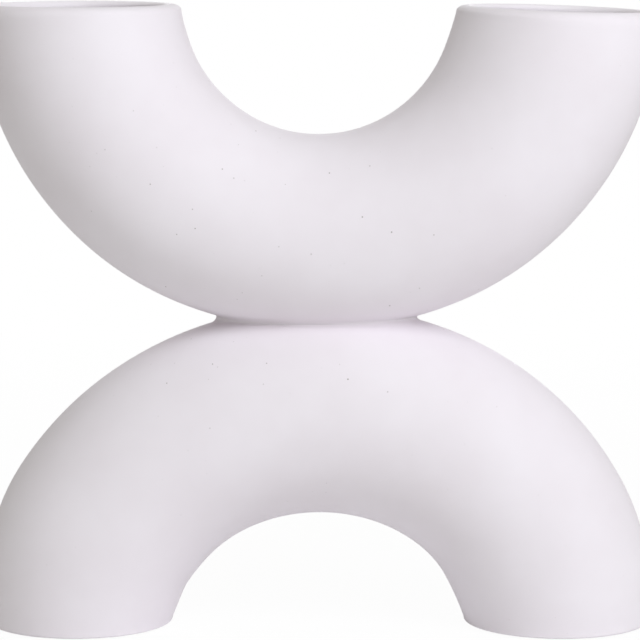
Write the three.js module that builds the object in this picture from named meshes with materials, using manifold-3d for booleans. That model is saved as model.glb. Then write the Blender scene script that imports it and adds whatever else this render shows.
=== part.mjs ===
// An X-shaped ceramic vase: a U-shaped flower tube luted, crown to crown, on an arched stand.
//
// Millimetres, +Z up. The origin is on the table, midway between the two feet. +X runs from the left
// arm to the right arm, and the vase is seen from the front when looking along +Y.

import * as THREE from 'three';
import { mergeVertices } from 'three/addons/utils/BufferGeometryUtils.js';
import Module from 'manifold-3d';

// Flower tube: a U whose centre line is half an ellipse.
const ARM_HALF_SPAN = 75.8; // from the middle of the vase to the centre line of a mouth
const TUBE_DROP = 74.1; // from the ellipse's centre down to the centre line of the crown
const TUBE_CROWN_DIAMETER = 63.4; // outside, at the bottom of the U before it is pressed on the arch
const ARM_DIAMETER = 66.0; // outside, of an arm before its mouth is drawn in
const MOUTH_DRAW_IN = 0.7; // how much less the radius is at the rim of a mouth
const MOUTH_DRAW_HEIGHT = 26.0; // length of an arm over which it is drawn in
const LEFT_ARM_TRIM = 0.9; // degrees by which the left arm is cut short of upright
const RIGHT_ARM_TRIM = 1.9; // the right arm is cut a little lower than the left

// Arched stand: half an ellipse too, with legs that are drawn in towards the feet. Its legs line up with
// the arms at the sides, and its crown lines up with the arms at the front and back.
const LEG_SPREAD = 1.4; // how much further out a foot is than a mouth
const LEG_HALF_SPAN = ARM_HALF_SPAN + LEG_SPREAD; // from the middle of the vase to the centre line of a foot
const ARCH_RISE = 68.8; // from the feet to the centre line of the crown
const ARCH_SWELL = 0.4; // how much fuller than an arm the arch is at its crown
const ARCH_CROWN_DIAMETER = ARM_DIAMETER + ARCH_SWELL;
const LEG_SLIMMING = 0.8; // how much slimmer than an arm a leg is
const LEG_DIAMETER = ARM_DIAMETER - LEG_SLIMMING; // outside, of a leg before its foot is drawn in
const FOOT_DRAW_IN = 2.8; // how much less the radius is at the foot of a leg
const FOOT_DRAW_HEIGHT = 32.0; // length of a leg over which it is drawn in

// Clay wall and its edges.
const WALL = 4.5;
const RIM_LAND = 0.4; // flat left on top of a mouth's rim between its two round edges
const FOOT_ROUND = 0.8; // radius of the outer edge of a foot

// Joint: both crowns are pressed flat and bedded on slip, and the tube's crown gives way a little.
const CROWN_PRESS = 0.85; // how much the tube's crown is squashed from below
const CROWN_PRESS_REACH = 36.0; // distance from the middle at which about a third of that is left
const TUBE_FLAT_DEPTH = 4.15; // how far the squashed crown of the tube is pressed in
const ARCH_FLAT_DEPTH = 3.8; // how far the arch's crown is pressed in
const SLIP_THICKNESS = 0.8;
const SLIP_SQUEEZE = 0.5; // how far the slip swells past the skin of the tubes

// Base of each leg: a clay plate on a ledge, with a felt ring glued under it.
const PLATE_THICKNESS = 4.0;
const LEDGE_WIDTH = 1.0;
const PLATE_CLEARANCE = 0.3; // between the plate's rim and the leg
const VENT_DIAMETER = 6.0;
const PAD_DIAMETER = 44.0;
const PAD_HOLE_DIAMETER = 10.0;
const PAD_THICKNESS = 2.0;
const PAD_PROUD = 0.6; // how far the felt stands below the foot

// Facets.
const SIDES_AROUND = 32;
const STEPS_ALONG = 36;
const STEPS_PER_EDGE = 3;
const OVERCUT = 3.0; // how far a cutting body runs past the face that it cuts

// Heights, stacked up from the table.
const FOOT_LEVEL = PAD_PROUD;
const PLATE_LEVEL = PAD_THICKNESS;
const LEDGE_LEVEL = PLATE_LEVEL + PLATE_THICKNESS;
const ARCH_FLAT_LEVEL = FOOT_LEVEL + ARCH_RISE + ARCH_CROWN_DIAMETER / 2 - ARCH_FLAT_DEPTH;
const TUBE_FLAT_LEVEL = ARCH_FLAT_LEVEL + SLIP_THICKNESS;
const TUBE_CROWN_LEVEL = TUBE_FLAT_LEVEL - TUBE_FLAT_DEPTH - CROWN_PRESS + TUBE_CROWN_DIAMETER / 2;
const TUBE_CENTRE_LEVEL = TUBE_CROWN_LEVEL + TUBE_DROP;

const RIM_ROUND = (WALL - RIM_LAND) / 2;

const wasm = await Module();
wasm.setup();

// A closed geometry as a solid that can be cut and joined.
function solidOf(geometry) {
  const bare = geometry.clone();
  bare.deleteAttribute('normal');
  bare.deleteAttribute('uv');
  const welded = mergeVertices(bare);
  const index = welded.index.array;
  const corners = [];
  for (let i = 0; i < index.length; i += 3) {
    const [a, b, c] = index.slice(i, i + 3);
    if (a !== b && b !== c && c !== a) corners.push(a, b, c);
  }
  return new wasm.Manifold(new wasm.Mesh({
    numProp: 3,
    vertProperties: new Float32Array(welded.attributes.position.array),
    triVerts: new Uint32Array(corners),
  }));
}

function geometryOf(solid) {
  const mesh = solid.getMesh();
  const geometry = new THREE.BufferGeometry();
  geometry.setAttribute('position', new THREE.BufferAttribute(mesh.vertProperties, 3));
  geometry.setIndex(new THREE.BufferAttribute(mesh.triVerts, 1));
  geometry.computeVertexNormals();
  return geometry;
}

// How much the U's radius is less, and its centre line is higher, at a distance from the middle of the
// vase, because its underside is squashed on the arch.
const squashAt = (x) => CROWN_PRESS / 2 * Math.exp(-((x / CROWN_PRESS_REACH) ** 4));

class SquashedEllipse extends THREE.EllipseCurve {
  getPoint(t, target) {
    const point = super.getPoint(t, target);
    point.y += squashAt(point.x);
    return point;
  }
}

// Centre line of the U, from the left mouth down through the crown to the right mouth.
function tubeCentreLine() {
  const start = Math.PI + THREE.MathUtils.degToRad(LEFT_ARM_TRIM);
  const end = 2 * Math.PI - THREE.MathUtils.degToRad(RIGHT_ARM_TRIM);
  return new SquashedEllipse(0, TUBE_CENTRE_LEVEL, ARM_HALF_SPAN, TUBE_DROP, start, end);
}

// Centre line of the arch, from the right foot up through the crown to the left foot.
function archCentreLine() {
  return new THREE.EllipseCurve(0, FOOT_LEVEL, LEG_HALF_SPAN, ARCH_RISE, 0, Math.PI);
}

// Radius of a tube that swells or narrows smoothly from its crown, half way along, to its two ends, and
// is drawn in over a short length before each end.
function taper(centreLine, crownRadius, endRadius, drawIn, drawLength) {
  const length = centreLine.getLength();
  return (share) => {
    const towardsEnd = Math.cos(Math.PI * share) ** 2;
    const fromEnd = Math.min(share, 1 - share) * length;
    const drawn = Math.max(0, 1 - fromEnd / drawLength) ** 2;
    return crownRadius + (endRadius - crownRadius) * towardsEnd - drawIn * drawn;
  };
}

// Radius of the U and of the arch along their centre lines, grown outwards by an allowance.
function tubeRadius(allowance) {
  const centreLine = tubeCentreLine();
  const crown = TUBE_CROWN_DIAMETER / 2 + allowance;
  const arm = ARM_DIAMETER / 2 + allowance;
  const round = taper(centreLine, crown, arm, MOUTH_DRAW_IN, MOUTH_DRAW_HEIGHT);
  return (share) => round(share) - squashAt(centreLine.getPointAt(share).x);
}

function archRadius(allowance) {
  const crown = ARCH_CROWN_DIAMETER / 2 + allowance;
  const leg = LEG_DIAMETER / 2 + allowance;
  return taper(archCentreLine(), crown, leg, FOOT_DRAW_IN, FOOT_DRAW_HEIGHT);
}

// Radius of the recess under a leg: the bore at the ledge's level, and the ledge's width.
function recessRadius() {
  const share = (LEDGE_LEVEL - FOOT_LEVEL) / archCentreLine().getLength();
  return archRadius(-WALL)(share) + LEDGE_WIDTH;
}

// Outline of a straight turned tube, up to its first end, whose edge is rounded off: inwards on a body,
// outwards on a bore, which then runs on past the end.
function turnedEnd(endRadius, round, flares) {
  const side = flares ? 1 : -1;
  const outline = [];
  if (flares) outline.push(new THREE.Vector2(endRadius + round, -OVERCUT));
  for (let i = 0; i <= STEPS_PER_EDGE; i++) {
    const angle = (i / STEPS_PER_EDGE) * Math.PI / 2;
    const radius = endRadius + side * round * (1 - Math.sin(angle));
    outline.push(new THREE.Vector2(radius, round * (1 - Math.cos(angle))));
  }
  return outline;
}

// A solid turned tube, as it leaves the wheel, that is then bent along a centre line.
function bentTube(centreLine, radiusAt, round, flares = false) {
  const length = centreLine.getLength();
  const firstEnd = turnedEnd(radiusAt(0), round, flares);
  const lastEnd = turnedEnd(radiusAt(1), round, flares);
  const outline = [new THREE.Vector2(0, firstEnd[0].y), ...firstEnd];
  for (let i = 1; i < STEPS_ALONG; i++) {
    const station = (i / STEPS_ALONG) * length;
    outline.push(new THREE.Vector2(radiusAt(station / length), station));
  }
  for (const point of lastEnd.reverse()) outline.push(new THREE.Vector2(point.x, length - point.y));
  outline.push(new THREE.Vector2(0, outline.at(-1).y));

  const geometry = new THREE.LatheGeometry(outline, SIDES_AROUND);
  const position = geometry.attributes.position;
  for (let i = 0; i < position.count; i++) {
    const station = position.getY(i);
    const along = THREE.MathUtils.clamp(station, 0, length);
    const centre = centreLine.getPointAt(along / length);
    const ahead = centreLine.getTangentAt(along / length);
    centre.addScaledVector(ahead, station - along);
    const sideways = position.getX(i);
    position.setXYZ(i, centre.x + sideways * ahead.y, -position.getZ(i), centre.y - sideways * ahead.x);
  }
  return solidOf(geometry);
}

// Everything above a level, or everything below it, as a block wider than the vase.
function block(level, upwards) {
  const reach = 4 * (ARM_HALF_SPAN + LEG_HALF_SPAN + TUBE_DROP + ARCH_RISE);
  const geometry = new THREE.BoxGeometry(reach, reach, reach);
  geometry.translate(0, 0, upwards ? reach / 2 : -reach / 2);
  geometry.translate(0, 0, level);
  return solidOf(geometry);
}

// An upright ring, with its lower face at level zero.
function ring(outerRadius, holeRadius, thickness) {
  const outline = [
    new THREE.Vector2(holeRadius, 0),
    new THREE.Vector2(outerRadius, 0),
    new THREE.Vector2(outerRadius, thickness),
    new THREE.Vector2(holeRadius, thickness),
    new THREE.Vector2(holeRadius, 0),
  ];
  return new THREE.LatheGeometry(outline, SIDES_AROUND).rotateX(Math.PI / 2);
}

// Skin of the U and of the arch, grown outwards by an allowance.
const tubeSkin = (allowance = 0) => bentTube(tubeCentreLine(), tubeRadius(allowance), RIM_ROUND);
const archSkin = (allowance = 0) => bentTube(archCentreLine(), archRadius(allowance), FOOT_ROUND);

// The U: its crown is flat outside and inside, so that the wall keeps its thickness over the joint.
function upperTube() {
  const bore = bentTube(tubeCentreLine(), tubeRadius(-WALL), RIM_ROUND, true)
    .subtract(block(TUBE_FLAT_LEVEL + WALL, false));
  return geometryOf(tubeSkin().subtract(block(TUBE_FLAT_LEVEL, false)).subtract(bore));
}

// The arch: hollow as the U is, with a recess and a ledge under each leg for its base plate.
function lowerArch() {
  const bore = bentTube(archCentreLine(), archRadius(-WALL), 0, true)
    .subtract(block(ARCH_FLAT_LEVEL - WALL, true));
  let arch = archSkin().subtract(block(ARCH_FLAT_LEVEL, true)).subtract(bore);
  const recessDepth = LEDGE_LEVEL - FOOT_LEVEL + OVERCUT;
  for (const side of [-1, 1]) {
    const recess = new THREE.CylinderGeometry(recessRadius(), recessRadius(), recessDepth, SIDES_AROUND);
    recess.rotateX(Math.PI / 2);
    recess.translate(side * LEG_HALF_SPAN, 0, LEDGE_LEVEL - recessDepth / 2);
    arch = arch.subtract(solidOf(recess));
  }
  return geometryOf(arch);
}

// The slip: a bed between the two flats that swells a little way out into the crease.
function slipJoint() {
  const layer = block(ARCH_FLAT_LEVEL, true).intersect(block(TUBE_FLAT_LEVEL, false));
  return geometryOf(layer.intersect(tubeSkin(SLIP_SQUEEZE)).intersect(archSkin(SLIP_SQUEEZE)));
}

const basePlate = () => ring(recessRadius() - PLATE_CLEARANCE, VENT_DIAMETER / 2, PLATE_THICKNESS);
const feltPad = () => ring(PAD_DIAMETER / 2, PAD_HOLE_DIAMETER / 2, PAD_THICKNESS);

const GLAZED_CLAY = { color: 0xf0eded, roughness: 0.62, metalness: 0 };
const BARE_CLAY = { color: 0xe8e2da, roughness: 0.9, metalness: 0 };
const FELT = { color: 0x9a958e, roughness: 1, metalness: 0 };

function piece(name, geometry, finish) {
  const mesh = new THREE.Mesh(geometry, new THREE.MeshStandardMaterial(finish));
  mesh.name = name;
  return mesh;
}

const vase = new THREE.Group();
vase.add(piece('upper_tube', upperTube(), GLAZED_CLAY));
vase.add(piece('lower_arch', lowerArch(), GLAZED_CLAY));
vase.add(piece('slip_joint', slipJoint(), GLAZED_CLAY));

for (const [side, direction] of [['left', -1], ['right', 1]]) {
  const plate = piece(`${side}_base_plate`, basePlate(), BARE_CLAY);
  plate.position.set(direction * LEG_HALF_SPAN, 0, PLATE_LEVEL);
  const pad = piece(`${side}_felt_pad`, feltPad(), FELT);
  pad.position.set(direction * LEG_HALF_SPAN, 0, 0);
  vase.add(plate, pad);
}

export default vase;
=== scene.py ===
"""Looks of an X-shaped ceramic vase: a U-shaped flower tube luted on an arched stand.

Metres and degrees, +Z up. The origin is on the table, midway between the feet, and the front is
seen along +Y.
"""

import logging
import math
from dataclasses import dataclass, field
from enum import Enum

import bmesh
import bpy
import numpy as np
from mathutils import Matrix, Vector, noise


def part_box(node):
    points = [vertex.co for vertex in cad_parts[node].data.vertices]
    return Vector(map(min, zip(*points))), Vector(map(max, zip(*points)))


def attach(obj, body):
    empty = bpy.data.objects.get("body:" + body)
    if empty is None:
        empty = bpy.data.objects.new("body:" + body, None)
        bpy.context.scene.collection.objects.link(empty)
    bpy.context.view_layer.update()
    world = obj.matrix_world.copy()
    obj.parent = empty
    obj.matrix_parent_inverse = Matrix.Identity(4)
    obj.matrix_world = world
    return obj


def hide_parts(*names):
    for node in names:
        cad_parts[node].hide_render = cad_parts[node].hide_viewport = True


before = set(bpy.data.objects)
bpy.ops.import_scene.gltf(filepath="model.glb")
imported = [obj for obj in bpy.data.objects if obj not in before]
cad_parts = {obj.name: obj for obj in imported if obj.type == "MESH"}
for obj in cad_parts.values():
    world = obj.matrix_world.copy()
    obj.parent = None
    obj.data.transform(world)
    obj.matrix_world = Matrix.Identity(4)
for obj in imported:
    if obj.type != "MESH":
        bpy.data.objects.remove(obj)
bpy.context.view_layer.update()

LOG = logging.getLogger("vase")
MM = 0.001
BODY = "root"
PHOTO_SIDE_PX = 640
SHARP_ANGLE = 16.0

# The colour and strength at which the background is plain white
WHITE = "#ffffff"
WHITE_STRENGTH = 1.0

# sRGB is a straight line in the dark and a power curve above it
SRGB_DARK_END = 0.04045
SRGB_DARK_SLOPE = 12.92
SRGB_OFFSET = 0.055
SRGB_POWER = 2.4

# A Mix node has sockets of one name for every type, so those for colours go by number
MIX_FACTOR, MIX_A, MIX_B, MIX_RESULT = 0, 6, 7, 2


class Side(Enum):
    """The vase's two legs, as the names of pieces and nodes have them."""

    LEFT = "left"
    RIGHT = "right"


class Surface(Enum):
    """What part of a tube's wall a ring of points lies on."""

    SKIN = "skin"
    EDGE = "edge"
    LIP = "lip"
    BORE = "bore"
    RECESS = "recess"


class Slot(Enum):
    """The record's material slots."""

    GLAZE = "matte_glaze"
    CLAY = "bare_clay"
    FELT = "felt"


def linear(hex_colour: str) -> tuple[float, float, float, float]:
    """Turns an sRGB hex colour into linear RGBA.

    Args:
        hex_colour: Six hex digits after a hash sign.

    Returns:
        Linear red, green and blue, and an alpha of one.
    """
    channels = []
    for byte in bytes.fromhex(hex_colour[1:]):
        level = byte / 255
        if level <= SRGB_DARK_END:
            channels.append(level / SRGB_DARK_SLOPE)
        else:
            channels.append(((level + SRGB_OFFSET) / (1 + SRGB_OFFSET)) ** SRGB_POWER)
    return (*channels, 1.0)


def per_metre(size: float) -> float:
    """Texture scale at which one cell of a pattern has the given real size in metres."""
    return 1.0 / size


def add_node(
    tree: bpy.types.NodeTree,
    kind: str,
    settings: dict[str | int, object] | None = None,
    links: dict[str | int, bpy.types.NodeSocket] | None = None,
) -> bpy.types.Node:
    """Adds a node with its settings and links.

    Args:
        tree: The node tree that gets the node.
        kind: The node's type name.
        settings: Values for input sockets, by name or index, or for the node's own properties.
        links: Sockets that feed the node's inputs, by the inputs' names or indices.

    Returns:
        The new node.
    """
    node = tree.nodes.new(kind)
    for key, value in (settings or {}).items():
        if isinstance(key, str) and hasattr(node, key):
            setattr(node, key, value)
        else:
            node.inputs[key].default_value = value
    for key, source in (links or {}).items():
        tree.links.new(source, node.inputs[key])
    return node


def new_material(
    name: str,
) -> tuple[bpy.types.Material, bpy.types.NodeTree, bpy.types.NodeSocket]:
    """Starts a node material.

    Args:
        name: The material's name.

    Returns:
        The material, its node tree, and the socket that gives places in the vase's own frame.
    """
    material = bpy.data.materials.new(name)
    material.use_nodes = True
    tree = material.node_tree
    tree.nodes.clear()
    return material, tree, add_node(tree, "ShaderNodeTexCoord").outputs["Object"]


def seen_directly(tree: bpy.types.NodeTree) -> bpy.types.NodeSocket:
    """Adds nodes that tell the rays which see the background from those which light the vase.

    Args:
        tree: The node tree of the floor or the world.

    Returns:
        A socket that is one for camera, glossy and transmission rays.
    """
    path = add_node(tree, "ShaderNodeLightPath").outputs
    either = add_node(
        tree, "ShaderNodeMath", {"operation": "MAXIMUM"},
        {0: path["Is Camera Ray"], 1: path["Is Glossy Ray"]},
    )
    any_of = add_node(
        tree, "ShaderNodeMath", {"operation": "MAXIMUM"},
        {0: either.outputs["Value"], 1: path["Is Transmission Ray"]},
    )
    return any_of.outputs["Value"]


@dataclass(frozen=True)
class MatteGlaze:
    """White matte glaze on cast stoneware: soft broad light, eggshell grain, a few iron specks."""

    name: str = "matte_white_glaze"
    thin_colour: str = "#ebe4ea"
    thick_colour: str = "#f0eaf0"
    speck_colour: str = "#776c64"
    ior: float = 1.5
    roughness_low: float = 0.7
    roughness_high: float = 0.8
    gloss: float = 0.25
    cloud_size: float = 34 * MM
    cloud_detail: float = 3.0
    cloud_roughness: float = 0.55
    cloud_low: float = 0.3
    cloud_high: float = 0.7
    eggshell_size: float = 0.9 * MM
    eggshell_height: float = 0.012 * MM
    eggshell_detail: float = 2.0
    eggshell_roughness: float = 0.5
    eggshell_strength: float = 0.6
    speck_spacing: float = 4.7 * MM
    speck_radius: float = 0.3 * MM
    speck_core: float = 0.5
    speck_strength: float = 0.9
    speck_heart: tuple[float, float, float] = (-6 * MM, 0.0, 120 * MM)
    speck_near: float = 42 * MM
    speck_far: float = 85 * MM
    speck_far_share: float = 0.12

    def material(self) -> bpy.types.Material:
        """Builds the glaze.

        Returns:
            The material, patterned in the vase's own frame.
        """
        material, tree, place = new_material(self.name)

        # Thicker and thinner glaze gives slow clouds of tone
        clouds = add_node(
            tree, "ShaderNodeTexNoise",
            {
                "Scale": per_metre(self.cloud_size),
                "Detail": self.cloud_detail,
                "Roughness": self.cloud_roughness,
            },
            {"Vector": place},
        )
        body = add_node(tree, "ShaderNodeValToRGB", links={"Fac": clouds.outputs["Fac"]})
        thin, thick = body.color_ramp.elements
        thin.position, thin.color = self.cloud_low, linear(self.thin_colour)
        thick.position, thick.color = self.cloud_high, linear(self.thick_colour)

        # Iron in the clay bleeds through as sparse specks, most of them near the crowns
        cells = add_node(
            tree, "ShaderNodeTexVoronoi", {"Scale": per_metre(self.speck_spacing)},
            {"Vector": place},
        )
        speck = add_node(
            tree, "ShaderNodeMapRange",
            {
                "From Min": self.speck_core * self.speck_radius / self.speck_spacing,
                "From Max": self.speck_radius / self.speck_spacing,
                "To Min": self.speck_strength,
                "To Max": 0.0,
            },
            {"Value": cells.outputs["Distance"]},
        )
        shade = add_node(tree, "ShaderNodeSeparateColor", links={"Color": cells.outputs["Color"]})
        fade = add_node(
            tree, "ShaderNodeMath", {"operation": "MULTIPLY"},
            {0: speck.outputs["Result"], 1: shade.outputs["Red"]},
        )
        off_heart = add_node(
            tree, "ShaderNodeVectorMath", {"operation": "DISTANCE", 1: self.speck_heart},
            {0: place},
        )
        gather = add_node(
            tree, "ShaderNodeMapRange",
            {
                "From Min": self.speck_near,
                "From Max": self.speck_far,
                "To Min": 1.0,
                "To Max": self.speck_far_share,
            },
            {"Value": off_heart.outputs["Value"]},
        )
        stain = add_node(
            tree, "ShaderNodeMath", {"operation": "MULTIPLY"},
            {0: fade.outputs["Value"], 1: gather.outputs["Result"]},
        )
        colour = add_node(
            tree, "ShaderNodeMix", {"data_type": "RGBA", MIX_B: linear(self.speck_colour)},
            {MIX_FACTOR: stain.outputs["Value"], MIX_A: body.outputs["Color"]},
        )

        # The fired skin has an eggshell grain, drawn a little coarse so that it shows
        grain = add_node(
            tree, "ShaderNodeTexNoise",
            {
                "Scale": per_metre(self.eggshell_size),
                "Detail": self.eggshell_detail,
                "Roughness": self.eggshell_roughness,
            },
            {"Vector": place},
        )
        relief = add_node(
            tree, "ShaderNodeBump",
            {"Strength": self.eggshell_strength, "Distance": self.eggshell_height},
            {"Height": grain.outputs["Fac"]},
        )
        roughness = add_node(
            tree, "ShaderNodeMapRange",
            {
                "From Min": self.cloud_low,
                "From Max": self.cloud_high,
                "To Min": self.roughness_low,
                "To Max": self.roughness_high,
            },
            {"Value": clouds.outputs["Fac"]},
        )
        shader = add_node(
            tree, "ShaderNodeBsdfPrincipled",
            {"IOR": self.ior, "Specular IOR Level": self.gloss},
            {
                "Base Color": colour.outputs[MIX_RESULT],
                "Roughness": roughness.outputs["Result"],
                "Normal": relief.outputs["Normal"],
            },
        )
        add_node(tree, "ShaderNodeOutputMaterial", links={"Surface": shader.outputs["BSDF"]})
        return material


@dataclass(frozen=True)
class LinerGlazePaintedLighter(MatteGlaze):
    """White lining glaze, poured in to hold water: smoother than outside, no specks, painted whiter
    as light in the bore.
    """

    name: str = "liner_glaze_painted_lighter"
    # Whiter than the outer glaze: painted light that lifts the shaded inside of the bore and the
    # lips
    thin_colour: str = "#f1ebf1"
    thick_colour: str = "#f6f1f6"
    roughness_low: float = 0.5
    roughness_high: float = 0.6
    gloss: float = 0.4
    speck_strength: float = 0.0


@dataclass(frozen=True)
class BareClay:
    """Unglazed stoneware, sponged and fired: dry, warm off-white, with fine sandy grog."""

    pale_colour: str = "#e9e2d8"
    dark_colour: str = "#d8cdbf"
    grog_colour: str = "#a8957f"
    ior: float = 1.5
    roughness: float = 0.92
    cloud_size: float = 12 * MM
    cloud_detail: float = 5.0
    cloud_roughness: float = 0.6
    grog_spacing: float = 1.6 * MM
    grog_radius: float = 0.35 * MM
    grog_core: float = 0.4
    grog_strength: float = 0.7
    sand_size: float = 0.5 * MM
    sand_height: float = 0.06 * MM
    sand_detail: float = 4.0
    sand_roughness: float = 0.65
    sand_strength: float = 0.8

    def material(self) -> bpy.types.Material:
        """Builds the clay.

        Returns:
            The material, patterned in the vase's own frame.
        """
        material, tree, place = new_material("bare_stoneware")

        # The fire leaves the clay a little paler here and darker there
        clouds = add_node(
            tree, "ShaderNodeTexNoise",
            {
                "Scale": per_metre(self.cloud_size),
                "Detail": self.cloud_detail,
                "Roughness": self.cloud_roughness,
            },
            {"Vector": place},
        )
        body = add_node(
            tree, "ShaderNodeMix",
            {
                "data_type": "RGBA",
                MIX_A: linear(self.dark_colour),
                MIX_B: linear(self.pale_colour),
            },
            {MIX_FACTOR: clouds.outputs["Fac"]},
        )

        # Crushed fired clay shows as small brown grains
        cells = add_node(
            tree, "ShaderNodeTexVoronoi", {"Scale": per_metre(self.grog_spacing)},
            {"Vector": place},
        )
        grog = add_node(
            tree, "ShaderNodeMapRange",
            {
                "From Min": self.grog_core * self.grog_radius / self.grog_spacing,
                "From Max": self.grog_radius / self.grog_spacing,
                "To Min": self.grog_strength,
                "To Max": 0.0,
            },
            {"Value": cells.outputs["Distance"]},
        )
        colour = add_node(
            tree, "ShaderNodeMix", {"data_type": "RGBA", MIX_B: linear(self.grog_colour)},
            {MIX_FACTOR: grog.outputs["Result"], MIX_A: body.outputs[MIX_RESULT]},
        )

        # Sponging leaves the sand standing, drawn a little coarse so that it shows
        sand = add_node(
            tree, "ShaderNodeTexNoise",
            {
                "Scale": per_metre(self.sand_size),
                "Detail": self.sand_detail,
                "Roughness": self.sand_roughness,
            },
            {"Vector": place},
        )
        relief = add_node(
            tree, "ShaderNodeBump",
            {"Strength": self.sand_strength, "Distance": self.sand_height},
            {"Height": sand.outputs["Fac"]},
        )
        shader = add_node(
            tree, "ShaderNodeBsdfPrincipled", {"IOR": self.ior, "Roughness": self.roughness},
            {"Base Color": colour.outputs[MIX_RESULT], "Normal": relief.outputs["Normal"]},
        )
        add_node(tree, "ShaderNodeOutputMaterial", links={"Surface": shader.outputs["BSDF"]})
        return material


@dataclass(frozen=True)
class WoolFelt:
    """Pressed wool felt, die-cut: matte, tangled grey fibres, a soft sheen at grazing angles."""

    pale_colour: str = "#b3aea6"
    dark_colour: str = "#7f7a73"
    roughness: float = 0.95
    sheen: float = 0.5
    tuft_size: float = 3.5 * MM
    tuft_detail: float = 4.0
    tuft_roughness: float = 0.6
    tuft_swirl: float = 1.5
    tuft_share: float = 0.5
    fibre_size: float = 0.45 * MM
    fibre_height: float = 0.25 * MM
    fibre_detail: float = 3.0
    fibre_roughness: float = 0.7
    fibre_swirl: float = 3.0
    fibre_strength: float = 1.0
    tone_low: float = 0.5
    tone_high: float = 1.0

    def material(self) -> bpy.types.Material:
        """Builds the felt.

        Returns:
            The material, patterned in the vase's own frame.
        """
        material, tree, place = new_material("pressed_wool_felt")

        # Tufts of paler and darker wool mottle the felt
        tufts = add_node(
            tree, "ShaderNodeTexNoise",
            {
                "Scale": per_metre(self.tuft_size),
                "Detail": self.tuft_detail,
                "Roughness": self.tuft_roughness,
                "Distortion": self.tuft_swirl,
            },
            {"Vector": place},
        )

        # Fibres lie tangled on top, drawn coarser than real ones so that they show
        fibres = add_node(
            tree, "ShaderNodeTexNoise",
            {
                "Scale": per_metre(self.fibre_size),
                "Detail": self.fibre_detail,
                "Roughness": self.fibre_roughness,
                "Distortion": self.fibre_swirl,
            },
            {"Vector": place},
        )
        blend = add_node(
            tree, "ShaderNodeMath", {"operation": "MULTIPLY_ADD", 1: self.tuft_share},
            {0: tufts.outputs["Fac"], 2: fibres.outputs["Fac"]},
        )
        tone = add_node(
            tree, "ShaderNodeMapRange",
            {"From Min": self.tone_low, "From Max": self.tone_high},
            {"Value": blend.outputs["Value"]},
        )
        colour = add_node(
            tree, "ShaderNodeMix",
            {
                "data_type": "RGBA",
                MIX_A: linear(self.dark_colour),
                MIX_B: linear(self.pale_colour),
            },
            {MIX_FACTOR: tone.outputs["Result"]},
        )
        relief = add_node(
            tree, "ShaderNodeBump",
            {"Strength": self.fibre_strength, "Distance": self.fibre_height},
            {"Height": fibres.outputs["Fac"]},
        )
        shader = add_node(
            tree, "ShaderNodeBsdfPrincipled",
            {"Roughness": self.roughness, "Sheen Weight": self.sheen},
            {"Base Color": colour.outputs[MIX_RESULT], "Normal": relief.outputs["Normal"]},
        )
        add_node(tree, "ShaderNodeOutputMaterial", links={"Surface": shader.outputs["BSDF"]})
        return material


@dataclass(frozen=True)
class PaleFloor:
    """White studio sweep: seen as white, with the vase's shadow kept faintly where it stands."""

    colour: str = "#f8f8f8"
    lift_near: float = 0.96
    lift_radius: float = 0.7

    def material(self) -> bpy.types.Material:
        """Builds the floor, which is open when seen from below.

        Returns:
            The material.
        """
        material, tree, place = new_material("pale_sweep")
        reach = add_node(tree, "ShaderNodeVectorMath", {"operation": "LENGTH"}, {0: place})

        # Near the vase a small share of paint, which takes the shadow, shows through the white
        lift = add_node(
            tree, "ShaderNodeMapRange",
            {"From Max": self.lift_radius, "To Min": self.lift_near, "To Max": 1.0},
            {"Value": reach.outputs["Value"]},
        )
        share = add_node(
            tree, "ShaderNodeMath", {"operation": "MULTIPLY"},
            {0: lift.outputs["Result"], 1: seen_directly(tree)},
        )
        paint = add_node(tree, "ShaderNodeBsdfDiffuse", {"Color": linear(self.colour)})
        glow = add_node(
            tree, "ShaderNodeEmission", {"Color": linear(WHITE), "Strength": WHITE_STRENGTH},
        )
        face = add_node(
            tree, "ShaderNodeMixShader",
            links={
                0: share.outputs["Value"],
                1: paint.outputs["BSDF"],
                2: glow.outputs["Emission"],
            },
        )
        below = add_node(tree, "ShaderNodeBsdfTransparent")
        side = add_node(tree, "ShaderNodeNewGeometry").outputs["Backfacing"]
        shader = add_node(
            tree, "ShaderNodeMixShader",
            links={0: side, 1: face.outputs["Shader"], 2: below.outputs["BSDF"]},
        )
        add_node(tree, "ShaderNodeOutputMaterial", links={"Surface": shader.outputs["Shader"]})
        return material


def add_object(name: str, data: bpy.types.ID) -> bpy.types.Object:
    """Adds an object to the scene.

    Args:
        name: The object's name.
        data: Its mesh, light or camera.

    Returns:
        The new object.
    """
    thing = bpy.data.objects.new(name, data)
    bpy.context.scene.collection.objects.link(thing)
    return thing


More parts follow.
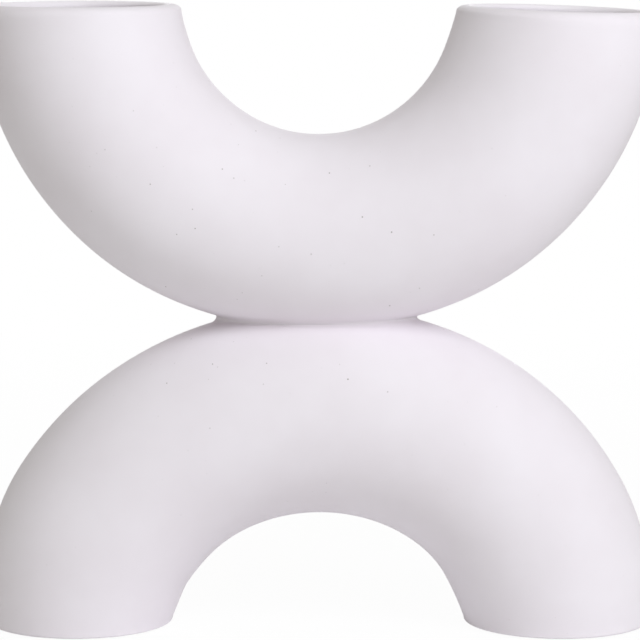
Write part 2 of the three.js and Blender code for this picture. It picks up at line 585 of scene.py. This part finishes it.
def skin_rings(
    name: str,
    rings: np.ndarray,
    material_of_ring: np.ndarray,
    materials: list[bpy.types.Material],
    closed: bool = True,
) -> bpy.types.Object:
    """Skins a stack of rings of points into one closed mesh.

    Args:
        name: The piece's name.
        rings: Points in metres, one row for each ring, all with the same count.
        material_of_ring: Index of the material between each ring and the next.
        materials: The piece's materials.
        closed: Whether the last ring joins the first. If not, each end is closed by a fan.

    Returns:
        The new object, linked to the scene.
    """
    count, around, _ = rings.shape
    points = [tuple(point) for point in rings.reshape(-1, 3)]
    faces = []
    face_materials = []
    for i in range(count if closed else count - 1):
        this, following = i * around, ((i + 1) % count) * around
        for j in range(around):
            k = (j + 1) % around
            faces.append((this + j, this + k, following + k, following + j))
        face_materials += [int(material_of_ring[i])] * around
    if not closed:
        for end in (0, count - 1):
            middle, this = len(points), end * around
            points.append(tuple(rings[end].mean(axis=0)))
            faces += [(middle, this + j, this + (j + 1) % around) for j in range(around)]
            face_materials += [int(material_of_ring[0])] * around

    mesh = bpy.data.meshes.new(name)
    mesh.from_pydata(points, [], faces)
    mesh.polygons.foreach_set("material_index", face_materials)
    for material in materials:
        mesh.materials.append(material)
    shell = bmesh.new()
    shell.from_mesh(mesh)
    bmesh.ops.recalc_face_normals(shell, faces=shell.faces)
    shell.to_mesh(mesh)
    shell.free()
    mesh.shade_smooth()
    mesh.set_sharp_from_angle(angle=math.radians(SHARP_ANGLE))
    return add_object(name, mesh)


def dress(piece: bpy.types.Object, node: str) -> bpy.types.Object:
    """Puts a piece in place of its CAD node.

    Args:
        piece: The piece.
        node: The CAD node that it stands for.

    Returns:
        The piece.
    """
    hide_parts(node)
    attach(piece, BODY)
    return piece


def full_turn(steps: int) -> np.ndarray:
    """Even angles once round a circle, in radians."""
    return np.linspace(0.0, 2 * math.pi, steps, endpoint=False)


def quarter_round(steps: int) -> tuple[np.ndarray, np.ndarray]:
    """Draws a quarter round with a radius of one, from its side to its crest.

    Args:
        steps: How many straight pieces stand for the round.

    Returns:
        How far each point is below the crest, and how far in from the side.
    """
    angle = np.linspace(0.0, math.pi / 2, steps + 1)
    return 1 - np.sin(angle), 1 - np.cos(angle)


def hump(at: np.ndarray, place: float, reach: float) -> np.ndarray:
    """A smooth rise to one at a place, which falls off over its reach on both sides."""
    return np.exp(-(((at - place) / reach) ** 2))


def in_space(points: np.ndarray) -> np.ndarray:
    """Points of the vase's middle plane, given as X and Z, as X, Y and Z."""
    return np.insert(points, 1, 0.0, axis=1)


def ring_surfaces(*runs: tuple[int, Surface]) -> np.ndarray:
    """The surface of each ring in a stack, from runs of rings that lie on the same one."""
    return np.concatenate([np.full(count, kind, object) for count, kind in runs])


@dataclass(frozen=True)
class BentTube:
    """A round clay tube, drawn in at its ends and bent along half an ellipse, left to right."""

    half_span: float
    rise: float
    level: float
    crown_radius: float
    end_radius: float
    left_draw_in: float
    right_draw_in: float
    draw_length: float
    left_trim: float = 0.0
    right_trim: float = 0.0
    crown_shift: float = 0.0
    left_bow: float = 0.0
    bow_place: float = 0.13
    bow_reach: float = 0.048
    left_swell: float = 0.0
    right_swell: float = 0.0
    swell_place: float = 0.17
    swell_reach: float = 0.1
    press: float = 0.0
    press_reach: float = 36 * MM
    flat_tip_steps: tuple[float, ...] = (0.0, 0.1 * MM, 0.35 * MM, 0.8 * MM)
    samples: int = 4001

    def squash(self, x: np.ndarray) -> np.ndarray:
        """How much the radius is less and the centre line is higher at places along X."""
        return self.press / 2 * np.exp(-((x / self.press_reach) ** 4))

    def centre_line(self) -> tuple[np.ndarray, np.ndarray]:
        """Samples the centre line.

        Returns:
            Distances along the line, and points as X and Z.
        """
        first = math.pi - math.radians(self.left_trim)
        last = math.radians(self.right_trim)
        angles = np.linspace(first, last, self.samples)
        place = np.linspace(0.0, 1.0, self.samples)
        bow = self.left_bow * hump(place, self.bow_place, self.bow_reach)
        x = (self.half_span + bow) * np.cos(angles) + self.crown_shift * np.sin(angles) ** 2
        z = self.level + (self.rise + bow) * np.sin(angles) + self.squash(x)
        points = np.column_stack([x, z])
        steps = np.hypot(*np.diff(points, axis=0).T)
        return np.concatenate([[0.0], np.cumsum(steps)]), points

    @property
    def length(self) -> float:
        """Length of the centre line."""
        return float(self.centre_line()[0][-1])

    def radius(self, station: np.ndarray | float) -> np.ndarray:
        """Outside radius at distances along the centre line.

        Args:
            station: Distances from the left end.

        Returns:
            The radius at each of them.
        """
        distance, line = self.centre_line()
        length = distance[-1]
        share = np.clip(station / length, 0.0, 1.0)
        towards_end = np.cos(math.pi * share) ** 2
        radius = self.crown_radius + (self.end_radius - self.crown_radius) * towards_end
        ends = (
            (share, self.left_draw_in, self.left_swell),
            (1 - share, self.right_draw_in, self.right_swell),
        )
        for from_end, draw_in, swell in ends:
            drawn = np.maximum(0.0, 1 - from_end * length / self.draw_length) ** 2
            swollen = hump(from_end, self.swell_place, self.swell_reach)
            radius = radius - draw_in * drawn + swell * swollen
        return radius - self.squash(np.interp(station, distance, line[:, 0]))

    def frames(self, station: np.ndarray, straight: np.ndarray) -> tuple[np.ndarray, np.ndarray]:
        """Finds the centre of the tube and the way across it.

        Args:
            station: Distances from the left end.
            straight: Where true, the axis runs straight on from the nearest end.

        Returns:
            Centres and unit normals, both as X and Z.
        """
        distance, line = self.centre_line()
        length = distance[-1]
        held = np.where(straight, np.where(station < length / 2, 0.0, length), station)
        slope = np.gradient(line, distance, axis=0)
        slope /= np.linalg.norm(slope, axis=1, keepdims=True)
        centre = np.column_stack([np.interp(held, distance, line[:, i]) for i in range(2)])
        ahead = np.column_stack([np.interp(held, distance, slope[:, i]) for i in range(2)])
        ahead /= np.linalg.norm(ahead, axis=1, keepdims=True)
        centre = centre + ahead * (station - held)[:, None]
        return centre, np.column_stack([-ahead[:, 1], ahead[:, 0]])

    def with_flat_tips(self, station: np.ndarray, flat_level: float) -> np.ndarray:
        """Adds stations where a flat that is pressed on the crown begins and ends.

        Args:
            station: Distances from the left end.
            flat_level: Height of the flat.

        Returns:
            The distances with the new ones among them.
        """
        distance, line = self.centre_line()
        normal = self.frames(distance, np.zeros(len(distance), bool))[1]
        reach = self.radius(distance) * np.abs(normal[:, 1])
        first, last = distance[np.abs(flat_level - line[:, 1]) < reach][[0, -1]]
        steps = np.array(self.flat_tip_steps)
        return np.sort(np.concatenate([station, first + steps, last - steps]))

    def rings(
        self,
        station: np.ndarray,
        radius: np.ndarray,
        straight: np.ndarray,
        around: int,
        flat_level: float,
    ) -> tuple[np.ndarray, np.ndarray]:
        """Places rings of points round the centre line, with points where they cross a flat.

        Args:
            station: Distance of each ring from the left end.
            radius: Radius of each ring.
            straight: Where true, the ring lies on a straight axis from the nearest end.
            around: How many points a ring has.
            flat_level: Height of the flat.

        Returns:
            The points, and their unit directions away from the centre line.
        """
        centre, normal = self.frames(station, straight)
        even = full_turn(around)
        turn = np.tile(even, (len(station), 1))
        drop, reach = flat_level - centre[:, 1], radius * normal[:, 1]
        crossing = np.flatnonzero(np.abs(drop) < np.abs(reach))
        edge = np.arccos(drop[crossing] / reach[crossing])
        nearest = np.rint(edge / even[1]).astype(int)
        turn[crossing, nearest] = edge
        turn[crossing, -nearest] = -edge
        away = np.empty((len(station), around, 3))
        away[:, :, 0] = normal[:, :1] * np.cos(turn)
        away[:, :, 1] = np.sin(turn)
        away[:, :, 2] = normal[:, 1:] * np.cos(turn)
        return in_space(centre)[:, None, :] + away * radius[:, None, None], away

    def clearance(self, points: np.ndarray) -> tuple[np.ndarray, np.ndarray]:
        """Measures how far points stand off the tube's skin.

        Args:
            points: Points in metres, one in each row.

        Returns:
            Distances from the skin, and unit directions away from the centre line.
        """
        distance, line = self.centre_line()
        gap = np.hypot(points[:, 0, None] - line[:, 0], points[:, 2, None] - line[:, 1])
        nearest = gap.argmin(axis=1)
        offset = points - in_space(line[nearest])
        reach = np.linalg.norm(offset, axis=1)
        return reach - self.radius(distance[nearest]), offset / reach[:, None]


@dataclass(frozen=True)
class HandMade:
    """Slow unevenness that casting and sponging leave in a clay skin, always into the wall."""

    depth: float = 0.14 * MM
    long_wave: float = 45 * MM
    long_share: float = 0.7
    short_wave: float = 16 * MM
    short_share: float = 0.3
    joint_fade: float = 14 * MM

    def apply(self, points: np.ndarray, away: np.ndarray, joint_level: float) -> np.ndarray:
        """Presses the unevenness into rings of points.

        Args:
            points: The skin's points.
            away: Directions out of the skin.
            joint_level: Height of the joint, where the skin stays true.

        Returns:
            The uneven points.
        """
        flat = points.reshape(-1, 3)
        dents = np.empty(len(flat))
        for i, point in enumerate(flat):
            place = Vector(point)
            wave = self.long_share * noise.noise(place / self.long_wave)
            wave += self.short_share * noise.noise(place / self.short_wave)
            dents[i] = 0.5 + 0.5 * wave

        # Eased, so that no line shows where the unevenness starts
        fade = np.clip(np.abs(flat[:, 2] - joint_level) / self.joint_fade, 0.0, 1.0)
        dents *= self.depth * fade * fade * (3 - 2 * fade)
        return points - away * dents.reshape(points.shape[:2])[:, :, None]


@dataclass
class FlowerTube:
    """The U that holds water and stems: two round-rimmed mouths, and a crown pressed flat."""

    glaze: bpy.types.Material
    liner_painted_lighter: bpy.types.Material
    half_span: float = 75.8 * MM
    drop: float = 74.1 * MM
    crown_diameter: float = 63.4 * MM
    arm_diameter: float = 66.0 * MM
    left_draw_in: float = 0.85 * MM
    right_draw_in: float = 1.45 * MM
    mouth_draw_height: float = 26.0 * MM
    wall: float = 4.5 * MM
    lip_outer_round: float = 3.0 * MM
    lip_inner_round: float = 1.9 * MM
    lip_fade: float = 14.0 * MM
    left_mouth_tilt: float = 0.9
    tilt_reach: float = 26.0 * MM
    left_swell: float = 0.2 * MM
    swell_place: float = 0.3
    swell_reach: float = 0.13
    crown_press: float = 0.85 * MM
    flat_depth: float = 4.15 * MM
    left_trim: float = 0.9
    right_trim: float = 1.9
    floor_blend: float = 2.0 * MM
    along: int = 176
    around: int = 120
    edge_steps: int = 7
    skin: HandMade = field(default_factory=HandMade)

    @property
    def flat_level(self) -> float:
        """Height of the flat under the crown."""
        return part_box("slip_joint")[1].z

    @property
    def tube(self) -> BentTube:
        """Works out the tube that the U is bent from.

        Returns:
            The tube, in its place on the joint.
        """
        crown_radius = self.crown_diameter / 2
        crown_centre = self.flat_level - self.flat_depth - self.crown_press + crown_radius
        return BentTube(
            half_span=self.half_span,
            rise=-self.drop,
            level=crown_centre + self.drop,
            crown_radius=crown_radius,
            end_radius=self.arm_diameter / 2,
            left_draw_in=self.left_draw_in,
            right_draw_in=self.right_draw_in,
            draw_length=self.mouth_draw_height,
            left_swell=self.left_swell,
            swell_place=self.swell_place,
            swell_reach=self.swell_reach,
            left_trim=self.left_trim,
            right_trim=self.right_trim,
            press=self.crown_press,
        )

    def outline(self) -> tuple[np.ndarray, np.ndarray, np.ndarray]:
        """Draws the wall's section: skin, right rim, bore and left rim.

        Returns:
            Station and radius of each ring, and the surface that it lies on.
        """
        tube = self.tube
        outer, inner = self.lip_outer_round, self.lip_inner_round
        bend = np.linspace(outer, tube.length - outer, self.along + 1)
        bend = tube.with_flat_tips(bend, self.flat_level)[1:-1]
        hollow = np.linspace(inner, tube.length - inner, self.along + 1)[-2:0:-1]

        # The lip is a little thicker than the wall, and fades back to it inside
        lip = outer + inner
        fall, run = quarter_round(self.edge_steps)
        lip_station = np.concatenate([outer * fall, inner * fall[-2::-1]])
        lip_inset = np.concatenate([outer * run, lip - inner * run[-2::-1]])
        below_lip = np.minimum(hollow, tube.length - hollow) - inner
        swell = np.cos(math.pi / 2 * np.clip(below_lip / self.lip_fade, 0.0, 1.0)) ** 2
        thickness = self.wall + (lip - self.wall) * swell

        station = np.concatenate([bend, tube.length - lip_station, hollow, lip_station[::-1]])
        inset = np.concatenate([np.zeros(len(bend)), lip_inset, thickness, lip_inset[::-1]])
        edge = len(fall)
        surface = ring_surfaces(
            (len(bend), Surface.SKIN), (edge, Surface.EDGE), (edge - 1, Surface.LIP),
            (len(hollow), Surface.BORE), (edge - 1, Surface.LIP), (edge, Surface.EDGE),
        )
        return station, tube.radius(station) - inset, surface

    def build(self) -> bpy.types.Object:
        """Builds the U in place of its CAD node, glazed outside, and inside in a white glaze whose
        extra whiteness is painted light.

        Returns:
            The piece.
        """
        station, radius, surface = self.outline()
        straight = np.zeros(len(station), bool)
        rings, away = self.tube.rings(station, radius, straight, self.around, self.flat_level)
        skin = surface == Surface.SKIN
        rings[skin] = self.skin.apply(rings[skin], away[skin], self.flat_level)
        height = rings[:, :, 2]

        # The left mouth is cut level
        tilt = math.tan(math.radians(self.left_mouth_tilt))
        near_mouth = np.clip(1 - station / self.tilt_reach, 0.0, 1.0) ** 2
        height -= (tilt * near_mouth)[:, None] * (rings[:, :, 0] + self.half_span)
        np.minimum(height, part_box("upper_tube")[1].z, out=height)

        # The crown is pressed flat, and the floor of the bore bends softly over it
        height[skin] = np.maximum(height[skin], self.flat_level)
        bore = surface == Surface.BORE
        over = height[bore] - (self.flat_level + self.wall)
        height[bore] += 0.5 * (np.sqrt(over ** 2 + self.floor_blend ** 2) - over)
        # Bore and lips take the white inner glaze, painted lighter to stand for light inside the
        # tube
        painted_lighter_inside = (bore | (surface == Surface.LIP)).astype(int)
        piece = skin_rings("flower_tube", rings, painted_lighter_inside, [self.glaze, self.liner_painted_lighter])
        return dress(piece, "upper_tube")


@dataclass
class ArchedStand:
    """The arch that carries the U: a hollow tube whose legs end in a clay plate and felt ring."""

    glaze: bpy.types.Material
    clay: bpy.types.Material
    felt: bpy.types.Material
    half_span: float = 77.2 * MM
    rise: float = 68.8 * MM
    crown_diameter: float = 66.4 * MM
    leg_diameter: float = 65.2 * MM
    foot_draw_in: float = 2.8 * MM
    foot_draw_height: float = 32.0 * MM
    crown_shift: float = 0.6 * MM
    left_bow: float = 0.52 * MM
    left_swell: float = 0.3 * MM
    right_swell: float = -0.3 * MM
    wall: float = 4.5 * MM
    foot_round: float = 0.8 * MM
    recess_edge: float = 0.5 * MM
    plate_edge: float = 0.6 * MM
    plate_clearance: float = 0.3 * MM
    plate_vent: float = 6.0 * MM
    pad_edge: float = 0.5 * MM
    pad_hole: float = 10.0 * MM
    along: int = 176
    around: int = 120
    edge_steps: int = 7
    disc_rings: int = 9
    skin: HandMade = field(default_factory=HandMade)

    @property
    def flat_level(self) -> float:
        """Height of the flat on top of the crown."""
        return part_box("slip_joint")[0].z

    @property
    def foot_level(self) -> float:
        """Height of the feet above the table."""
        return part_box("lower_arch")[0].z

    @property
    def tube(self) -> BentTube:
        """Works out the tube that the arch is bent from.

        Returns:
            The tube, in its place on the feet.
        """
        return BentTube(
            half_span=self.half_span,
            rise=self.rise,
            level=self.foot_level,
            crown_radius=self.crown_diameter / 2,
            end_radius=self.leg_diameter / 2,
            left_draw_in=self.foot_draw_in,
            right_draw_in=self.foot_draw_in,
            draw_length=self.foot_draw_height,
            crown_shift=self.crown_shift,
            left_bow=self.left_bow,
            left_swell=self.left_swell,
            right_swell=self.right_swell,
        )

    def outline(self) -> tuple[np.ndarray, np.ndarray, np.ndarray]:
        """Draws the wall's section: skin, right foot with its recess, bore and left foot.

        Returns:
            Station and radius of each ring, and the surface that it lies on.
        """
        tube = self.tube
        plate_low, plate_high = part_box("left_base_plate")
        recess_radius = (plate_high.y - plate_low.y) / 2 + self.plate_clearance
        recess_depth = plate_high.z - self.foot_level
        bend = np.linspace(self.foot_round, tube.length - self.foot_round, self.along + 1)
        bend = tube.with_flat_tips(bend, self.flat_level)[1:-1]
        hollow = np.linspace(recess_depth, tube.length - recess_depth, self.along + 1)[-2:0:-1]

        # A foot turns from its rounded edge into the recess, up to the ledge that takes the plate
        fall, run = quarter_round(self.edge_steps)
        foot_radius = float(tube.radius(self.foot_round))
        ledge = [recess_radius, float(tube.radius(recess_depth)) - self.wall]
        foot_station = np.concatenate([
            self.foot_round * fall, self.recess_edge * run, np.full(len(ledge), recess_depth),
        ])
        foot_rings = np.concatenate([
            foot_radius - self.foot_round * run, recess_radius + self.recess_edge * fall, ledge,
        ])

        station = np.concatenate([bend, tube.length - foot_station, hollow, foot_station[::-1]])
        radius = np.concatenate([
            tube.radius(bend), foot_rings, tube.radius(hollow) - self.wall, foot_rings[::-1],
        ])
        edge = len(fall)
        recess = len(foot_station) - edge
        surface = ring_surfaces(
            (len(bend), Surface.SKIN), (edge, Surface.EDGE), (recess, Surface.RECESS),
            (len(hollow), Surface.BORE), (recess, Surface.RECESS), (edge, Surface.EDGE),
        )
        return station, radius, surface

    def build_arch(self) -> bpy.types.Object:
        """Builds the arch in place of its CAD node, glazed outside and bare inside and below.

        Returns:
            The piece.
        """
        station, radius, surface = self.outline()
        straight = surface == Surface.RECESS
        rings, away = self.tube.rings(station, radius, straight, self.around, self.flat_level)
        skin = surface == Surface.SKIN
        rings[skin] = self.skin.apply(rings[skin], away[skin], self.flat_level)
        height = rings[:, :, 2]
        height[skin] = np.minimum(height[skin], self.flat_level)
        bore = surface == Surface.BORE
        height[bore] = np.minimum(height[bore], self.flat_level - self.wall)
        bare = (straight | bore).astype(int)
        piece = skin_rings("arched_stand", rings, bare, [self.glaze, self.clay])
        return dress(piece, "lower_arch")

    def build_disc(
        self,
        name: str,
        node: str,
        hole_diameter: float,
        edge: float,
        finish: bpy.types.Material,
    ) -> bpy.types.Object:
        """Builds a flat ring with softened edges in place of a CAD node of the same size.

        Args:
            name: The piece's name.
            node: The CAD node that it replaces, which gives its size and place.
            hole_diameter: Diameter of the hole in its middle.
            edge: Radius of its edges.
            finish: The piece's material.

        Returns:
            The piece.
        """
        low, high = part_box(node)
        middle = (low + high) / 2
        outer = (high.x - low.x) / 2
        hole = hole_diameter / 2
        drop, inset = (edge * part for part in quarter_round(self.edge_steps))
        faces = np.linspace(hole + edge, outer - edge, self.disc_rings)[1:-1]
        radius = np.concatenate([
            outer - inset, faces[::-1], hole + inset[::-1],
            hole + inset, faces, outer - inset[::-1],
        ])
        below = np.concatenate([drop, np.zeros(len(faces)), drop[::-1]])
        z = np.concatenate([low.z + below, high.z - below])
        spin = full_turn(self.around)
        rings = np.empty((len(radius), self.around, 3))
        rings[:, :, 0] = middle.x + radius[:, None] * np.cos(spin)
        rings[:, :, 1] = middle.y + radius[:, None] * np.sin(spin)
        rings[:, :, 2] = z[:, None]
        piece = skin_rings(name, rings, np.zeros(len(radius), int), [finish])
        return dress(piece, node)

    def build(self) -> list[bpy.types.Object]:
        """Builds the arch, its two plates and its two felt rings.

        Returns:
            The pieces.
        """
        pieces = [self.build_arch()]
        for side in Side:
            pieces.append(self.build_disc(
                f"{side.value}_foot_plate", f"{side.value}_base_plate",
                self.plate_vent, self.plate_edge, self.clay,
            ))
            pieces.append(self.build_disc(
                f"{side.value}_foot_felt", f"{side.value}_felt_pad",
                self.pad_hole, self.pad_edge, self.felt,
            ))
        return pieces


@dataclass
class SlipJoint:
    """The slip between the two crowns, and the fillet that a sponge left where it oozed out."""

    glaze: bpy.types.Material
    upper: BentTube
    lower: BentTube
    bearings: tuple[float, ...] = (0, 15, 40, 90, 120, 145, 165, 180)
    upper_reach_mm: tuple[float, ...] = (1.4, 1.0, 1.4, 1.6, 1.1, 0.9, 0.85, 1.0)
    lower_reach_mm: tuple[float, ...] = (2.0, 0.8, 0.55, 0.5, 0.7, 1.3, 1.9, 1.2)
    crispness: float = 1.3
    play: float = 0.01 * MM
    start_reach: float = 26 * MM
    around: int = 240
    arc_steps: int = 16
    solve_steps: int = 16

    def touch(
        self, tube: BentTube, reach_mm: tuple[float, ...], heading: np.ndarray,
    ) -> tuple[np.ndarray, np.ndarray]:
        """Finds where the fillet runs out on a tube.

        Args:
            tube: The tube.
            reach_mm: Radius in millimetres, at each bearing, of a ball that touches the tube there.
            heading: Unit directions in plan, one in each row.

        Returns:
            Points on the tube's skin, and unit directions out of it.
        """
        bearing = np.degrees(np.arccos(-heading[:, 0]))
        radius = np.interp(bearing, self.bearings, reach_mm) * MM
        centre = self.roll(heading, radius)
        away = tube.clearance(centre)[1]
        return centre - radius[:, None] * away, away

    def roll(self, heading: np.ndarray, radius: np.ndarray) -> np.ndarray:
        """Rolls a ball round the crease, touching both tubes.

        Args:
            heading: Unit directions in plan, one in each row.
            radius: The ball's radius in each direction.

        Returns:
            The ball's centres.
        """
        low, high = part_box("slip_joint")
        centre = heading * self.start_reach
        centre[:, 2] = (low.z + high.z) / 2
        for _ in range(self.solve_steps):
            gap_above, above = self.upper.clearance(centre)
            gap_below, below = self.lower.clearance(centre)
            push_above = np.sum(above * heading, axis=1)
            push_below = np.sum(below * heading, axis=1)
            size = push_above * below[:, 2] - push_below * above[:, 2]
            error_above, error_below = gap_above - radius, gap_below - radius
            out = (error_above * below[:, 2] - error_below * above[:, 2]) / size
            up = (push_above * error_below - push_below * error_above) / size
            centre -= heading * out[:, None]
            centre[:, 2] -= up
        return centre

    def flat_edge(self, tube: BentTube, level: float, heading: np.ndarray) -> np.ndarray:
        """Finds where a tube's skin meets the plane that it was pressed flat on.

        Args:
            tube: The tube.
            level: Height of the plane.
            heading: Unit directions in plan, one in each row.

        Returns:
            Points on the edge of the flat.
        """
        edge = heading * self.start_reach
        edge[:, 2] = level
        for _ in range(self.solve_steps):
            gap, away = tube.clearance(edge)
            edge -= heading * (gap / np.sum(away * heading, axis=1))[:, None]
        return edge

    def build(self) -> bpy.types.Object:
        """Builds the slip in place of its CAD node.

        Returns:
            The piece.
        """
        low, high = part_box("slip_joint")
        turn = full_turn(self.around)
        heading = np.column_stack([np.cos(turn), np.sin(turn), np.zeros(self.around)])
        start, above = self.touch(self.upper, self.upper_reach_mm, heading)
        end, below = self.touch(self.lower, self.lower_reach_mm, heading)

        # The corner is where the planes that touch the two tubes cross
        inward = np.sum(heading * above, axis=1)[:, None] * above - heading
        slide = np.sum((end - start) * below, axis=1) / np.sum(inward * below, axis=1)
        corner = start + inward * slide[:, None]
        half_turn = np.arccos(np.clip(np.sum(above * below, axis=1), -1.0, 1.0)) / 2
        pull = self.crispness * np.cos(half_turn)[:, None]

        rings = [self.flat_edge(self.upper, high.z - self.play, heading)]
        for share in np.linspace(0.0, 1.0, self.arc_steps + 1):
            first, middle, last = (1 - share) ** 2, 2 * share * (1 - share) * pull, share ** 2
            arc = first * start + middle * corner + last * end
            rings.append(arc / (first + middle + last))
        rings.append(self.flat_edge(self.lower, low.z + self.play, heading))
        stack = np.array(rings)
        glazed = np.zeros(len(stack), int)
        piece = skin_rings("slip_seam", stack, glazed, [self.glaze], closed=False)
        return dress(piece, "slip_joint")


@dataclass(frozen=True)
class Softbox:
    """A square studio lamp facing the vase: bearing to the camera's right, lift above level."""

    name: str
    bearing: float
    lift: float
    watts: float
    side: float = 0.8
    distance: float = 1.8
    colour: str = "#f6f9ff"

    def build(self, target: Vector) -> None:
        """Hangs the lamp.

        Args:
            target: The point that it faces.
        """
        light = bpy.data.lights.new(self.name, "AREA")
        light.shape = "SQUARE"
        light.size = self.side
        light.energy = self.watts
        light.color = linear(self.colour)[:3]
        lamp = add_object(self.name, light)
        bearing, lift = math.radians(self.bearing), math.radians(self.lift)
        flat = math.cos(lift)
        way = Vector((flat * math.sin(bearing), -flat * math.cos(bearing), math.sin(lift)))
        lamp.location = target + way * self.distance
        lamp.rotation_euler = (target - lamp.location).to_track_quat("-Z", "Y").to_euler()
        lamp.visible_camera = False


@dataclass
class Studio:
    """White sweep, soft lamps and a long lens a little above the middle of the vase."""

    floor: bpy.types.Material
    floor_side: float = 40.0
    ambient: float = 0.362
    ambient_colour: str = "#fffff2"
    lamps: tuple[Softbox, ...] = (
        Softbox("key_softbox", bearing=20, lift=45, watts=12.4),
        Softbox("side_softbox", bearing=45, lift=30, watts=9.0),
        Softbox("back_softbox", bearing=180, lift=6, watts=9.0),
    )
    camera_distance: float = 1067 * MM
    camera_elevation: float = 7.5
    target_x: float = 0.6 * MM
    target_z: float = 98.3 * MM
    focal_px: float = 3328.0
    sensor_mm: float = 36.0

    def build_camera(self) -> None:
        """Sets the camera at the photograph's viewing angle."""
        data = bpy.data.cameras.new("long_lens")
        data.sensor_width = self.sensor_mm
        data.lens = self.focal_px / PHOTO_SIDE_PX * self.sensor_mm
        camera = add_object("long_lens", data)
        tilt = math.radians(self.camera_elevation)
        target = Vector((self.target_x, 0.0, self.target_z))
        back = Vector((0.0, -math.cos(tilt), math.sin(tilt)))
        camera.location = target + back * self.camera_distance
        camera.rotation_euler = (-back).to_track_quat("-Z", "Y").to_euler()
        bpy.context.scene.camera = camera

    def build_floor(self) -> None:
        """Lays the floor under the vase."""
        half = self.floor_side / 2
        mesh = bpy.data.meshes.new("sweep")
        corners = [(-half, -half, 0), (half, -half, 0), (half, half, 0), (-half, half, 0)]
        mesh.from_pydata(corners, [], [(0, 1, 2, 3)])
        mesh.materials.append(self.floor)
        sweep = add_object("sweep", mesh)

    def build_world(self) -> None:
        """Fills the room with soft light, behind a white background."""
        world = bpy.data.worlds.new("white_room")
        bpy.context.scene.world = world
        world.use_nodes = True
        tree = world.node_tree
        tree.nodes.clear()
        light = add_node(
            tree, "ShaderNodeBackground",
            {"Color": linear(self.ambient_colour), "Strength": self.ambient},
        )
        white = add_node(
            tree, "ShaderNodeBackground", {"Color": linear(WHITE), "Strength": WHITE_STRENGTH},
        )
        room = add_node(
            tree, "ShaderNodeMixShader",
            links={
                0: seen_directly(tree),
                1: light.outputs["Background"],
                2: white.outputs["Background"],
            },
        )
        add_node(tree, "ShaderNodeOutputWorld", links={"Surface": room.outputs["Shader"]})

    def build(self) -> None:
        """Builds the camera, the floor, the room and the lamps."""
        bpy.context.scene.view_settings.view_transform = "Standard"
        self.build_camera()
        self.build_floor()
        self.build_world()
        middle = Vector((0.0, 0.0, self.target_z))
        for lamp in self.lamps:
            lamp.build(middle)


def main() -> None:
    """Builds the studio and the vase, piece by piece."""
    logging.basicConfig(level=logging.INFO, format="%(name)s: %(message)s")
    glaze = MatteGlaze().material()
    liner_painted_lighter = LinerGlazePaintedLighter().material()
    clay = BareClay().material()
    felt = WoolFelt().material()
    Studio(PaleFloor().material()).build()
    flower_tube = FlowerTube(glaze, liner_painted_lighter)
    stand = ArchedStand(glaze, clay, felt)
    joint = SlipJoint(glaze, flower_tube.tube, stand.tube)
    for piece in [flower_tube.build(), *stand.build(), joint.build()]:
        LOG.info("%s: %d faces", piece.name, len(piece.data.polygons))


if __name__ == "__main__":
    main()
